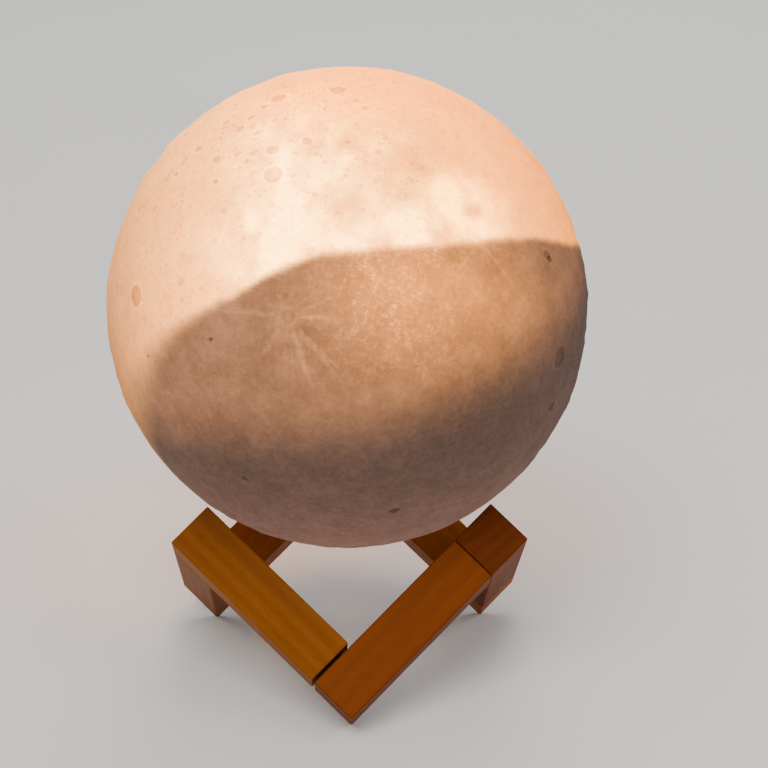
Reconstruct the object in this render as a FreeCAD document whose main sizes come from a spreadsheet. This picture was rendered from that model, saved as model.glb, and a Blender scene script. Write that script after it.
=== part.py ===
# Moon lamp: a hollow globe with its base unit, resting on a stand of six square wooden bars.
#
# Frame: millimetres, +Z up, the table top at Z = 0, the globe's centre on the Z axis, the front
# of the lamp towards -Y. The stand is the zigzag ring of six edges that goes round a cube stood
# on its corner. Each bar butts with its tail on the side of the next bar's head, and a pin along
# its own axis joins the two. The front low corner has an open gap instead of a pin.
import FreeCAD
import Part
import math
import os
import Sketcher

doc = FreeCAD.newDocument("MoonLamp")

# ---------------------------------------------------------------- driving dimensions
sheet = doc.addObject("Spreadsheet::Sheet", "Sizes")
SIZES = {
    # stand
    "bar_pitch": 62.0,            # from corner to corner, along the bars' centre lines
    "bar_width": 16.0,            # square section of a bar
    "bar_round": 0.5,             # radius on all edges of a bar
    "joint_gap": 0.2,             # between a tail and the head that it is pinned to
    "front_gap": 1.1,             # open gap at the front low corner
    "foot_depth": 0.5,            # height taken off the low corners by their flats
    "pin_radius": 1.5,
    "pin_grip": 12.0,             # length of a pin inside the tail that it is glued in
    "pin_reach": 10.0,            # length of a pin inside the head that turns on it
    "pin_chamfer": 0.3,
    "pin_running_fit": 0.05,      # radial, pin in the head's bore
    "pin_glue_fit": 0.02,         # radial, pin in the tail's hole
    "bore_end_gap": 0.8,          # beyond the pin's ends
    "seat_gap": 0.3,              # between the globe and the tips that carry it
    "cut_past": 1.0,              # how far a cut runs past the faces that it opens
    # globe
    "globe_radius": 75.0,
    "globe_wall": 1.8,
    "mouth_radius": 22.0,
    # ring glued in the mouth
    "glue_gap": 0.2,
    "ring_wall": 2.8,
    "rim_recess": 3.3,            # rim of the base above the globe's lowest point
    "ring_height": 20.0,
    "shelf_gap": 1.0,             # between the shelf and the battery tube
    "shelf_thickness": 4.0,
    # base housing
    "slide_fit": 0.3,             # radial, between parts that slip into each other
    "housing_wall": 1.6,
    "housing_plate": 2.0,
    "tube_wall": 1.6,
    "head_room": 6.0,             # between the battery and the light holder's spigot
    "wire_hole_radius": 5.0,
    "boss_radius": 2.2,
    "boss_inset": 0.3,            # between a boss and the housing's wall
    "board_gap": 4.1,             # between the main board and the housing's wall
    "board_thickness": 1.2,
    "cover_thickness": 2.2,
    "screw_radius": 1.0,
    "screw_head_radius": 1.8,
    "screw_head_height": 1.2,
    "screw_fit": 0.05,            # radial, screw in its pilot hole
    "screw_end_gap": 0.5,         # beyond a screw's tip
    "slot_width": 0.4,            # driver slot in a screw's head
    "slot_depth": 0.6,
    "cover_screw_length": 7.0,
    "ring_screw_length": 5.0,
    "board_screw_length": 4.0,
    "board_screw_inset": 3.0,     # from the board's edge to its screws
    # button and switch
    "button_radius": 4.0,
    "button_fit": 0.2,
    "button_flange_radius": 5.0,
    "button_flange_height": 0.8,
    "button_proud": 0.8,
    "button_travel": 0.6,
    "switch_width": 6.0,
    "switch_height": 3.4,
    "switch_gap": 1.55,           # between the switch's face and the button's flange
    "plunger_radius": 1.7,
    "plunger_fit": 0.1,
    "plunger_bore_depth": 1.6,
    "seat_touch": 0.05,           # between hard parts that rest on each other inside the base
    # charging socket and its light
    "socket_width": 9.0,
    "socket_depth": 3.4,
    "socket_shell": 0.4,
    "socket_offset": 6.4,
    "socket_cut": 5.0,            # depth of the mouth for the plug
    "tongue_thickness": 0.8,
    "tongue_width": 6.6,
    "tongue_setback": 0.8,        # tongue's tip behind the socket's mouth
    "light_offset": 8.0,
    "light_radius": 1.4,
    "led_chip_width": 3.5,
    "led_chip_depth": 2.8,
    "led_chip_height": 0.8,
    "charge_chip_width": 1.6,
    "charge_chip_depth": 0.8,
    # battery and light board
    "battery_radius": 7.1,
    "battery_length": 45.0,
    "pad_height": 4.0,
    "pad_thickness": 2.5,
    "pad_gap": 0.2,
    "wire_radius": 0.6,
    "wire_gap": 0.2,              # between the two wires
    "wire_slot_width": 3.0,
    "holder_radius": 18.0,
    "holder_thickness": 2.0,
    "spigot_length": 5.0,
    "holder_rim": 1.0,            # holder beyond the light board
    "led_inset": 4.5,             # from the light board's edge to its outer ring of chips
    "led_cluster_radius": 5.5,
}
for row, (alias, value) in enumerate(SIZES.items(), start=1):
    sheet.set("A%d" % row, alias)
    sheet.set("B%d" % row, str(value))
    sheet.setAlias("B%d" % row, alias)
doc.recompute()

# sizes that follow from the driving dimensions
DERIVED = {
    "half_width": "bar_width / 2",
    "tip_reach": "(half_width - bar_round) * 1.7320508",   # cube centre to the centre of a tip's rounding
    "low_height": "tip_reach + bar_round - foot_depth",
    "corner_radius": "bar_pitch * 0.8164966",
    "high_height": "low_height + bar_pitch * 0.5773503",
    "tip_distance": "globe_radius + seat_gap + bar_round",
    "globe_height": "high_height + tip_reach + sqrt(tip_distance ^ 2 - corner_radius ^ 2)",
    "ring_rim_drop": "globe_radius - rim_recess",
    "ring_outer_radius": "mouth_radius - glue_gap",
    "ring_inner_radius": "ring_outer_radius - ring_wall",
    "shelf_drop": "ring_rim_drop - ring_height + shelf_thickness",
    "housing_radius": "ring_inner_radius - slide_fit",
    "housing_top_drop": "shelf_drop + seat_touch",
    "housing_roof_drop": "housing_top_drop + housing_plate",
    "cover_top_drop": "ring_rim_drop - cover_thickness",
    "button_top_drop": "cover_top_drop - button_flange_height - seat_touch",
    "switch_face_drop": "button_top_drop - switch_gap",
    "board_under_drop": "switch_face_drop - switch_height",
    "board_drop": "board_under_drop - board_thickness",
    "room_radius": "housing_radius - housing_wall",
    "cover_pitch_radius": "room_radius - boss_inset - boss_radius",   # of the ring screws too
    "board_radius": "room_radius - board_gap",
    "board_screw_radius": "board_radius - board_screw_inset",
    "tube_bore_radius": "battery_radius + pad_gap * 2 + pad_thickness",
    "tube_radius": "tube_bore_radius + tube_wall",
    "shelf_inner_radius": "tube_radius + shelf_gap",
    "battery_foot_drop": "housing_top_drop - seat_touch",
    "battery_head_drop": "battery_foot_drop - battery_length",
    "tube_top_drop": "battery_head_drop - head_room - spigot_length",
    "led_board_radius": "holder_radius - holder_rim",
    "led_ring_radius": "led_board_radius - led_inset",
    "holder_under_drop": "tube_top_drop - seat_touch",
    "holder_top_drop": "holder_under_drop - holder_thickness",
    "led_board_under_drop": "holder_top_drop - seat_touch",
    "led_board_top_drop": "led_board_under_drop - board_thickness",
}
first_derived_row = len(SIZES) + 2
for row, (alias, formula) in enumerate(DERIVED.items(), start=first_derived_row):
    sheet.set("A%d" % row, alias)
    sheet.set("B%d" % row, "=" + formula)
    sheet.setAlias("B%d" % row, alias)
doc.recompute()


def size(alias):
    """The number that a cell of the sheet holds."""
    return float(getattr(sheet, alias))


def bound(text):
    """An expression on the sheet's aliases, with the sheet's name put before each alias."""
    words = []
    for word in text.split():
        bare = word.strip("()-")
        if bare in SIZES or bare in DERIVED:
            word = word.replace(bare, "Sizes." + bare)
        words.append(word)
    return " ".join(words)


def bind(thing, **settings):
    """Ties properties of an object to expressions on the sheet."""
    for name, text in settings.items():
        thing.setExpression(name, bound(text))


def bind_base(thing, x="0", y="0", z="0"):
    """Ties the position of an object to expressions on the sheet."""
    for axis, text in (("x", x), ("y", y), ("z", z)):
        thing.setExpression("Placement.Base." + axis, bound(text))


PIECES = []


def piece(thing, label):
    """Names a finished sub-part; the label is its file's name."""
    thing.Label = label
    PIECES.append(thing)
    return thing


# ---------------------------------------------------------------- the six directions of the stand
# Seen from above, the corners lie at 60 degree steps. Low and high corners take turns, and all
# neighbouring bars are square to each other.
CORNER_NAMES = ["left_high", "front_low", "right_high", "back_right", "back_high", "back_left"]
CORNER_ANGLES = [-150, -90, -30, 30, 90, 150]
BAR_NAMES = [
    "front_left_bar", "front_right_bar", "right_leg_bar",
    "back_right_bar", "back_left_bar", "left_leg_bar",
]
BAR_COUNT = len(BAR_NAMES)
FREE_BAR = 0          # the bar whose tail stops short of the front low corner


def is_high(corner):
    return corner % 2 == 0


def corner_direction(corner):
    """Unit vector from a corner of the ring to the next one."""
    points = []
    for index in (corner, (corner + 1) % BAR_COUNT):
        angle = math.radians(CORNER_ANGLES[index])
        height = math.sqrt(1 / 3) if is_high(index) else 0
        reach = math.sqrt(2 / 3)
        points.append(FreeCAD.Vector(reach * math.cos(angle), reach * math.sin(angle), height))
    return (points[1] - points[0]).normalize()


def bar_rotation(index):
    """A bar's own X runs from its head to its tail, and its own Y along the bar before it."""
    along = corner_direction(index)
    before = corner_direction((index - 1) % BAR_COUNT)
    side = along.cross(before)
    return FreeCAD.Rotation(along, before, side, "XYZ")


def place_in_ring(thing, index):
    """Puts an object that is drawn in a bar's own frame at that bar's head corner."""
    angle = CORNER_ANGLES[index]
    height = "high_height" if is_high(index) else "low_height"
    thing.Placement = FreeCAD.Placement(FreeCAD.Vector(), bar_rotation(index))
    bind_base(thing, "corner_radius * cos(%d deg)" % angle, "corner_radius * sin(%d deg)" % angle, height)


def origin_plane(body, role):
    return next(plane for plane in body.Origin.OriginFeatures if plane.Role == role)


def rectangle(sketch, left, right, low, high):
    """A rectangle in a sketch, its four sides tied to expressions on the sheet."""
    corners = [FreeCAD.Vector(x, y, 0) for x, y in ((-1, -1), (1, -1), (1, 1), (-1, 1))]
    lines = []
    for start, end in zip(corners, corners[1:] + corners[:1]):
        lines.append(sketch.addGeometry(Part.LineSegment(start, end), False))
    for line, following in zip(lines, lines[1:] + lines[:1]):
        sketch.addConstraint(Sketcher.Constraint("Coincident", line, 2, following, 1))
    for line in (lines[0], lines[2]):
        sketch.addConstraint(Sketcher.Constraint("Horizontal", line))
    for line in (lines[1], lines[3]):
        sketch.addConstraint(Sketcher.Constraint("Vertical", line))
    origin = (-1, 1)
    for kind, line, value, text in (
        ("DistanceX", lines[0], -1, left),
        ("DistanceY", lines[0], -1, low),
        ("DistanceX", lines[2], 1, right),
        ("DistanceY", lines[2], 1, high),
    ):
        number = sketch.addConstraint(Sketcher.Constraint(kind, *origin, line, 1, value))
        sketch.setExpression("Constraints[%d]" % number, bound(text))


def subtract_cylinder(body, name, radius, height, rotation, x="0", y="0", z="0"):
    """Cuts a cylinder out of a body; its own axis starts at x, y, z."""
    hole = body.newObject("PartDesign::SubtractiveCylinder", name)
    bind(hole, Radius=radius, Height=height)
    hole.Placement = FreeCAD.Placement(FreeCAD.Vector(), rotation)
    bind_base(hole, x, y, z)
    return hole


ALONG_X = FreeCAD.Rotation(FreeCAD.Vector(0, 1, 0), 90)
ALONG_Y = FreeCAD.Rotation(FreeCAD.Vector(1, 0, 0), -90)


def tail_end(index):
    """Expression for a bar's tail face, measured along it from the centre of its head."""
    gap = "front_gap" if index == FREE_BAR else "joint_gap"
    return "bar_pitch - half_width - " + gap


def make_bar(index):
    """One square bar with rounded edges, its pin holes and, on a low corner, its foot flat."""
    body = doc.addObject("PartDesign::Body", "Bar%d" % index)
    outline = body.newObject("Sketcher::SketchObject", "BarOutline%d" % index)
    outline.AttachmentSupport = (origin_plane(body, "XY_Plane"), [""])
    outline.MapMode = "FlatFace"
    rectangle(outline, "-half_width", tail_end(index), "-half_width", "half_width")
    block = body.newObject("PartDesign::Pad", "BarBlock%d" % index)
    block.Profile = outline
    block.SideType = "Symmetric"
    bind(block, Length="bar_width")
    doc.recompute()
    rounded = body.newObject("PartDesign::Fillet", "BarRounded%d" % index)
    rounded.Base = (block, ["Edge%d" % (number + 1) for number in range(len(block.Shape.Edges))])
    bind(rounded, Radius="bar_round")
    # the tail's hole holds this bar's own pin, and the head's bore turns on the pin of the bar before
    if index != FREE_BAR:
        subtract_cylinder(
            body, "TailHole%d" % index, "pin_radius + pin_glue_fit",
            "pin_grip + bore_end_gap + joint_gap", ALONG_X,
            x=tail_end(index) + " - pin_grip - bore_end_gap",
        )
    if (index - 1) % BAR_COUNT != FREE_BAR:
        subtract_cylinder(
            body, "HeadBore%d" % index, "pin_radius + pin_running_fit",
            "pin_reach + bore_end_gap + joint_gap", ALONG_Y, y="-half_width - joint_gap",
        )
    if not is_high(index):
        down = bar_rotation(index).inverted().multVec(FreeCAD.Vector(0, 0, -1))
        flat = body.newObject("PartDesign::SubtractiveBox", "FootFlat%d" % index)
        bind(flat, Length="bar_width", Width="bar_width", Height="bar_width")
        turn = FreeCAD.Rotation(FreeCAD.Vector(0, 0, 1), down)
        flat.Placement = FreeCAD.Placement(FreeCAD.Vector(), turn)
        # the box's corner: half a width back along its own two sides, and out to the table top
        side_a = turn.multVec(FreeCAD.Vector(1, 0, 0))
        side_b = turn.multVec(FreeCAD.Vector(0, 1, 0))
        back = (side_a + side_b) * -1
        bind_base(
            flat,
            *["half_width * %.7f + low_height * %.7f" % (back[axis], down[axis]) for axis in range(3)],
        )
    place_in_ring(body, index)
    return piece(body, BAR_NAMES[index])


for bar_index in range(BAR_COUNT):
    make_bar(bar_index)


def make_pin(index):
    """A plain pin with chamfered ends, glued in a bar's tail and running in the next bar's head."""
    body = doc.addObject("PartDesign::Body", "Pin%d" % index)
    rod = body.newObject("PartDesign::AdditiveCylinder", "PinRod%d" % index)
    bind(rod, Radius="pin_radius", Height="pin_grip + joint_gap + pin_reach")
    rod.Placement = FreeCAD.Placement(FreeCAD.Vector(), ALONG_X)
    bind_base(rod, x=tail_end(index) + " - pin_grip")
    doc.recompute()
    ends = [
        "Face%d" % (number + 1)
        for number, face in enumerate(rod.Shape.Faces)
        if isinstance(face.Surface, Part.Plane)
    ]
    tapered = body.newObject("PartDesign::Chamfer", "PinEnds%d" % index)
    tapered.Base = (rod, ends)
    bind(tapered, Size="pin_chamfer")
    place_in_ring(body, index)
    return piece(body, CORNER_NAMES[(index + 1) % BAR_COUNT] + "_pin")


for bar_index in range(BAR_COUNT):
    if bar_index != FREE_BAR:
        make_pin(bar_index)


# ---------------------------------------------------------------- lamp unit, about the globe's centre
# Drops are distances below the globe's centre; every object of the lamp unit is drawn about that
# centre and then raised by globe_height.
PRIMITIVES = {"cylinder": "Part::Cylinder", "sphere": "Part::Sphere", "box": "Part::Box"}


def solid(kind, name, x="0", y="0", z="0", **settings):
    """A primitive whose sizes and place are expressions on the sheet."""
    thing = doc.addObject(PRIMITIVES[kind], name)
    bind(thing, **settings)
    bind_base(thing, x, y, z)
    return thing


def disc(name, radius, low_drop, high_drop, x="0", y="0"):
    """An upright cylinder between two drops."""
    rise = low_drop + " - ( " + high_drop + " )"
    return solid("cylinder", name, x, y, "-( " + low_drop + " )", Radius=radius, Height=rise)


def block(name, width, depth, low_drop, high_drop, x="0", y="0"):
    """An upright box between two drops, centred on x, y."""
    return solid(
        "box", name,
        x + " - ( " + width + " ) / 2", y + " - ( " + depth + " ) / 2", "-( " + low_drop + " )",
        Length=width, Width=depth, Height=low_drop + " - ( " + high_drop + " )",
    )


def cut(base, *tools):
    for tool in tools:
        trimmed = doc.addObject("Part::Cut", base.Name + "Cut")
        trimmed.Base = base
        trimmed.Tool = tool
        base = trimmed
    return base


def fuse(name, *things):
    joined = doc.addObject("Part::MultiFuse", name)
    joined.Shapes = list(things)
    joined.Refine = True
    return joined


def group(name, *things):
    """Identical separate solids that share one node."""
    together = doc.addObject("Part::Compound", name)
    together.Links = list(things)
    return together


def finish(thing, label):
    """Raises a piece of the lamp unit to the globe's height and names it."""
    if thing.TypeId in PRIMITIVES.values():
        thing = group(thing.Name + "Piece", thing)
    bind_base(thing, z="globe_height")
    return piece(thing, label)


def around(radius, angle):
    """x and y expressions of a place on a pitch circle."""
    return radius + " * cos( %g deg )" % angle, radius + " * sin( %g deg )" % angle


COVER_SCREW_ANGLES = [90, 210, 330]
RING_SCREW_ANGLES = [30, 150, 270]
BOARD_SCREW_ANGLES = [60, 240]
LED_SCREW_ANGLES = [90, 270]
BUTTON_X = "-socket_offset"
SOCKET_X = "socket_offset"
LIGHT_Y = "light_offset"

# the globe: one hollow shell, open at the bottom
outer_ball = solid("sphere", "GlobeOutside", Radius="globe_radius")
inner_ball = solid("sphere", "GlobeInside", Radius="globe_radius - globe_wall")
mouth = disc("GlobeMouth", "mouth_radius", "globe_radius + cut_past", "ring_rim_drop - ring_height")
finish(cut(outer_ball, inner_ball, mouth), "moon_shell")


def make_mounting_ring():
    """Ring glued in the mouth, its rim level with the mouth's edge, with a shelf for the base."""
    neck = disc("RingNeck", "ring_outer_radius", "ring_rim_drop", "ring_rim_drop - ring_height")
    bore = disc("RingBore", "ring_inner_radius", "ring_rim_drop + cut_past", "shelf_drop")
    opening = disc(
        "ShelfOpening", "shelf_inner_radius", "ring_rim_drop", "ring_rim_drop - ring_height - cut_past",
    )
    body = cut(neck, bore, opening)
    pilots = []
    for number, angle in enumerate(RING_SCREW_ANGLES):
        x, y = around("cover_pitch_radius", angle)
        pilots.append(disc(
            "RingPilot%d" % number, "screw_radius + screw_fit", "shelf_drop + shelf_thickness",
            "shelf_drop - ring_screw_length + housing_plate", x, y,
        ))
    return finish(cut(body, *pilots), "mounting_ring")


make_mounting_ring()


def make_housing():
    """Cup for the board, with the battery tube on its roof and bosses for the screws under it."""
    cup = disc("HousingCup", "housing_radius", "cover_top_drop - seat_touch", "housing_top_drop")
    room = disc("HousingRoom", "room_radius", "ring_rim_drop", "housing_roof_drop")
    tube = disc("HousingTube", "tube_radius", "housing_roof_drop", "tube_top_drop")
    bore = disc("HousingBore", "tube_bore_radius", "housing_top_drop", "tube_top_drop - tube_wall")
    passage = disc(
        "HousingPassage", "wire_hole_radius", "housing_roof_drop + tube_wall", "housing_top_drop - tube_wall",
    )
    bosses = []
    holes = []
    for number, angle in enumerate(COVER_SCREW_ANGLES):
        x, y = around("cover_pitch_radius", angle)
        bosses.append(disc(
            "CoverBoss%d" % number, "boss_radius", "cover_top_drop - seat_touch",
            "housing_roof_drop - seat_touch", x, y,
        ))
        holes.append(disc(
            "CoverPilot%d" % number, "screw_radius + screw_fit", "ring_rim_drop",
            "ring_rim_drop - cover_screw_length", x, y,
        ))
    for number, angle in enumerate(BOARD_SCREW_ANGLES):
        x, y = around("board_screw_radius", angle)
        bosses.append(disc(
            "BoardBoss%d" % number, "boss_radius", "board_drop - seat_touch",
            "housing_roof_drop - seat_touch", x, y,
        ))
        holes.append(disc(
            "BoardPilot%d" % number, "screw_radius + screw_fit", "board_drop + board_thickness",
            "board_drop - board_screw_length", x, y,
        ))
    for number, angle in enumerate(RING_SCREW_ANGLES):
        x, y = around("cover_pitch_radius", angle)
        holes.append(disc(
            "RoofHole%d" % number, "screw_radius + slide_fit", "housing_roof_drop + housing_plate",
            "housing_top_drop - seat_touch", x, y,
        ))
    body = fuse("HousingBody", cut(cup, room), tube, *bosses)
    return finish(cut(body, bore, passage, *holes), "base_housing")


make_housing()


def make_screws(label, angles, pitch, head_drop, length):
    """Pan-head screws that point up, with their heads' undersides at one drop."""
    screws = []
    for number, angle in enumerate(angles):
        x, y = around(pitch, angle)
        tip_drop = head_drop + " - ( " + length + " )"
        shank = disc(label + "Shank%d" % number, "screw_radius", head_drop, tip_drop, x, y)
        face_drop = head_drop + " + screw_head_height"
        head = disc(label + "Head%d" % number, "screw_head_radius", face_drop, head_drop, x, y)
        slot = block(
            label + "Slot%d" % number, "screw_head_radius * 2 + cut_past", "slot_width",
            face_drop, face_drop + " - slot_depth", x, y,
        )
        screws.append(cut(fuse(label + "Screw%d" % number, shank, head), slot))
    return finish(group(label + "Set", *screws), label)


def make_cover():
    """Round cover with holes for the button, the socket, the light and three sunk screws."""
    plate = disc("CoverPlate", "housing_radius", "ring_rim_drop", "cover_top_drop")
    below = "ring_rim_drop + cut_past"
    above = "cover_top_drop - cut_past"
    button_hole = disc("ButtonHole", "button_radius + button_fit", below, above, BUTTON_X)
    socket_hole = block(
        "SocketHole", "socket_depth + slide_fit * 2", "socket_width + slide_fit * 2",
        below, above, SOCKET_X,
    )
    light_hole = disc("LightHole", "light_radius + screw_fit", below, above, "0", LIGHT_Y)
    holes = [button_hole, socket_hole, light_hole]
    for number, angle in enumerate(COVER_SCREW_ANGLES):
        x, y = around("cover_pitch_radius", angle)
        holes.append(disc("CoverHole%d" % number, "screw_radius + slide_fit", below, above, x, y))
        holes.append(disc(
            "CoverSink%d" % number, "screw_head_radius + slide_fit", below,
            "ring_rim_drop - screw_head_height - seat_touch * 2", x, y,
        ))
    return finish(cut(plate, *holes), "bottom_cover")


make_cover()
make_screws(
    "cover_screws", COVER_SCREW_ANGLES, "cover_pitch_radius",
    "ring_rim_drop - screw_head_height - seat_touch",
    "cover_screw_length - screw_head_height - screw_end_gap",
)
make_screws(
    "ring_screws", RING_SCREW_ANGLES, "cover_pitch_radius",
    "housing_roof_drop + seat_touch", "ring_screw_length",
)
make_screws(
    "board_screws", BOARD_SCREW_ANGLES, "board_screw_radius",
    "board_under_drop + seat_touch", "board_screw_length + board_thickness - screw_end_gap",
)


def make_board():
    """Round main board with holes for its two screws and a notch beside each tall boss."""
    plate = disc("BoardPlate", "board_radius", "board_under_drop", "board_drop")
    below = "board_under_drop + cut_past"
    above = "board_drop - cut_past"
    cuts = []
    for number, angle in enumerate(BOARD_SCREW_ANGLES):
        x, y = around("board_screw_radius", angle)
        cuts.append(disc("BoardHole%d" % number, "screw_radius + slide_fit", below, above, x, y))
    for number, angle in enumerate(COVER_SCREW_ANGLES):
        x, y = around("cover_pitch_radius", angle)
        cuts.append(disc("BoardNotch%d" % number, "boss_radius + slide_fit", below, above, x, y))
    return finish(cut(plate, *cuts), "main_board")


make_board()


def make_button_group():
    """Push button with a flange behind the cover, the switch above it and the switch's plunger."""
    behind_cover = "cover_top_drop - seat_touch"
    cap = disc("ButtonCap", "button_radius", "ring_rim_drop + button_proud", behind_cover, BUTTON_X)
    flange = disc("ButtonFlange", "button_flange_radius", behind_cover, "button_top_drop", BUTTON_X)
    finish(fuse("ButtonBody", cap, flange), "push_button")
    case = block(
        "SwitchCase", "switch_width", "switch_width",
        "switch_face_drop", "board_under_drop + seat_touch", BUTTON_X,
    )
    well = disc(
        "SwitchWell", "plunger_radius + plunger_fit", "switch_face_drop + cut_past",
        "switch_face_drop - plunger_bore_depth", BUTTON_X,
    )
    finish(cut(case, well), "tact_switch")
    finish(disc(
        "Plunger", "plunger_radius", "button_top_drop - seat_touch",
        "switch_face_drop - plunger_bore_depth + button_travel + seat_touch", BUTTON_X,
    ), "switch_plunger")


make_button_group()


def make_socket():
    """Charging socket: a metal shell whose mouth is in the cover, with its contact tongue."""
    top = "board_under_drop + seat_touch"
    shell = block("SocketShell", "socket_depth", "socket_width", "ring_rim_drop", top, SOCKET_X)
    room = block(
        "SocketRoom", "socket_depth - socket_shell * 2", "socket_width - socket_shell * 2",
        "ring_rim_drop + cut_past", "ring_rim_drop - socket_cut", SOCKET_X,
    )
    tongue = block(
        "SocketTongue", "tongue_thickness", "tongue_width",
        "ring_rim_drop - tongue_setback", "ring_rim_drop - socket_cut - socket_shell", SOCKET_X,
    )
    finish(fuse("SocketBody", cut(shell, room), tongue), "charging_socket")


make_socket()

# the charge light: a chip on the board and the clear rod that takes its light to the cover
charge_led_drop = "board_under_drop + seat_touch + led_chip_height"
charge_led = block(
    "ChargeLed", "charge_chip_width", "charge_chip_depth",
    charge_led_drop, "board_under_drop + seat_touch", "0", LIGHT_Y,
)
finish(charge_led, "charge_led")
light_rod = disc(
    "LightRod", "light_radius", "ring_rim_drop", charge_led_drop + " + seat_touch", "0", LIGHT_Y,
)
finish(light_rod, "light_pipe")

# battery, standing in the tube between two foam pads that leave a slot for the wires
finish(disc("Battery", "battery_radius", "battery_foot_drop", "battery_head_drop"), "battery_cell")


def make_pad(name, low_drop):
    """Foam ring about the battery, open on one side where the wires pass."""
    below = low_drop + " + cut_past"
    beyond = low_drop + " - pad_height - cut_past"
    ring = disc(name, "tube_bore_radius - pad_gap", low_drop, low_drop + " - pad_height")
    hole = disc(name + "Hole", "battery_radius + pad_gap", below, beyond)
    slot = block(name + "Slot", "tube_radius", "wire_slot_width", below, beyond, "tube_radius")
    return cut(ring, hole, slot)


low_pad = make_pad("LowPad", "battery_foot_drop")
high_pad = make_pad("HighPad", "battery_head_drop + pad_height * 2")
finish(group("PadSet", low_pad, high_pad), "battery_pads")


def make_light_head():
    """Holder pressed in the tube's top, the light board screwed on it, its chips and screws."""
    spigot_drop = "holder_under_drop + spigot_length"
    plate = disc("HolderPlate", "holder_radius", "holder_under_drop", "holder_top_drop")
    spigot = disc("HolderSpigot", "tube_bore_radius - slide_fit", spigot_drop, "holder_under_drop")
    below = spigot_drop + " + cut_past"
    hollow = disc(
        "HolderHollow", "tube_bore_radius - slide_fit - tube_wall", below, "holder_under_drop",
    )
    wire_hole = block(
        "HolderWireHole", "wire_slot_width", "wire_slot_width", below, "holder_top_drop - cut_past",
        "battery_radius + pad_gap + wire_radius",
    )
    holes = [hollow, wire_hole]
    board_holes = []
    for number, angle in enumerate(LED_SCREW_ANGLES):
        x, y = around("led_ring_radius + led_chip_depth", angle)
        holes.append(disc(
            "HolderPilot%d" % number, "screw_radius + screw_fit", "holder_under_drop + cut_past",
            "holder_top_drop - cut_past", x, y,
        ))
        board_holes.append(disc(
            "LedBoardHole%d" % number, "screw_radius + slide_fit", "led_board_under_drop + cut_past",
            "led_board_top_drop - cut_past", x, y,
        ))
    finish(cut(fuse("HolderBody", plate, spigot), *holes), "led_holder")
    board = disc("LedBoard", "led_board_radius", "led_board_under_drop", "led_board_top_drop")
    finish(cut(board, *board_holes), "led_board")
    chips = []
    ring_angles = [45 * step + 22.5 for step in range(8)]
    cluster_angles = [90 * step for step in range(4)]
    for radius, angles in (("led_ring_radius", ring_angles), ("led_cluster_radius", cluster_angles)):
        for angle in angles:
            x, y = around(radius, angle)
            chips.append(block(
                "LedChip%d" % len(chips), "led_chip_width", "led_chip_depth",
                "led_board_top_drop - seat_touch",
                "led_board_top_drop - seat_touch - led_chip_height", x, y,
            ))
    finish(group("ChipSet", *chips), "led_chips")
    screws = []
    for number, angle in enumerate(LED_SCREW_ANGLES):
        x, y = around("led_ring_radius + led_chip_depth", angle)
        under_head = "led_board_top_drop - seat_touch"
        head_face = under_head + " - screw_head_height"
        head = disc("LedHead%d" % number, "screw_head_radius", under_head, head_face, x, y)
        shank = disc("LedShank%d" % number, "screw_radius", "holder_under_drop", under_head, x, y)
        screws.append(fuse("LedScrew%d" % number, head, shank))
    finish(group("LedScrewSet", *screws), "led_screws")


make_light_head()

# two wires that climb past the battery, from its foot to the underside of the light board
wires = []
for number, side in enumerate((-1, 1)):
    wires.append(disc(
        "Wire%d" % number, "wire_radius", "battery_foot_drop", "led_board_under_drop + seat_touch",
        "battery_radius + pad_gap + wire_radius", "%d * ( wire_radius + wire_gap / 2 )" % side,
    ))
finish(group("WireSet", *wires), "led_wires")

# ---------------------------------------------------------------- check and write
doc.recompute()
for thing in doc.Objects:
    states = set(thing.State)
    if states & {"Invalid", "Error"}:
        raise RuntimeError("%s is %s" % (thing.Name, thing.State))

os.makedirs("parts", exist_ok=True)
for thing in PIECES:
    shape = thing.Shape
    if shape.isNull() or not shape.isValid() or not shape.Solids:
        raise RuntimeError("%s has no valid solid" % thing.Label)
    shape.exportStep("parts/%s.step" % thing.Label)
    box = shape.BoundBox
    print("%-18s solids %2d  volume %9.1f  z %7.2f to %7.2f" % (
        thing.Label, len(shape.Solids), shape.Volume, box.ZMin, box.ZMax,
    ))
print("globe height %.3f" % size("globe_height"))
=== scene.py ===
"""Moon lamp: a glowing globe with the moon's relief, on a stand of six square wooden bars."""
import math

import bpy
import numpy as np
from mathutils import Matrix, Vector


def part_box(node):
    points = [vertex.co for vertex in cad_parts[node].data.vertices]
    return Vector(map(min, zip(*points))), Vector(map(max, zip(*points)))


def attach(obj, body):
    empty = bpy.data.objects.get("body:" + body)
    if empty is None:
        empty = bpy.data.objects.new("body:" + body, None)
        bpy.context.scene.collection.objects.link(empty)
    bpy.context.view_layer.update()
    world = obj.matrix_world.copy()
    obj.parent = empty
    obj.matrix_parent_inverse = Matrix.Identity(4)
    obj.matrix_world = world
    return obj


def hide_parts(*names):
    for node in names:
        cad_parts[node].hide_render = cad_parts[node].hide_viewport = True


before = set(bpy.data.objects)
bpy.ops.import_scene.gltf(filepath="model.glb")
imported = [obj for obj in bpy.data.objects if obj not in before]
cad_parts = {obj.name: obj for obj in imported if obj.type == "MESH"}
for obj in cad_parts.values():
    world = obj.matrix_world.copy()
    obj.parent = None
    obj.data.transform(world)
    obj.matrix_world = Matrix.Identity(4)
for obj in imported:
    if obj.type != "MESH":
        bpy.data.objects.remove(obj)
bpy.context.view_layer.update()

bl_info = {
    "name": "Moon Lamp",
    "version": (1, 0, 0),
    "blender": (4, 5, 0),
    "location": "3D View > Sidebar > Moon Lamp",
    "description": "Builds the globe's relief and glow, the wood, the base unit and the stage",
    "category": "Object",
}

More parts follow.
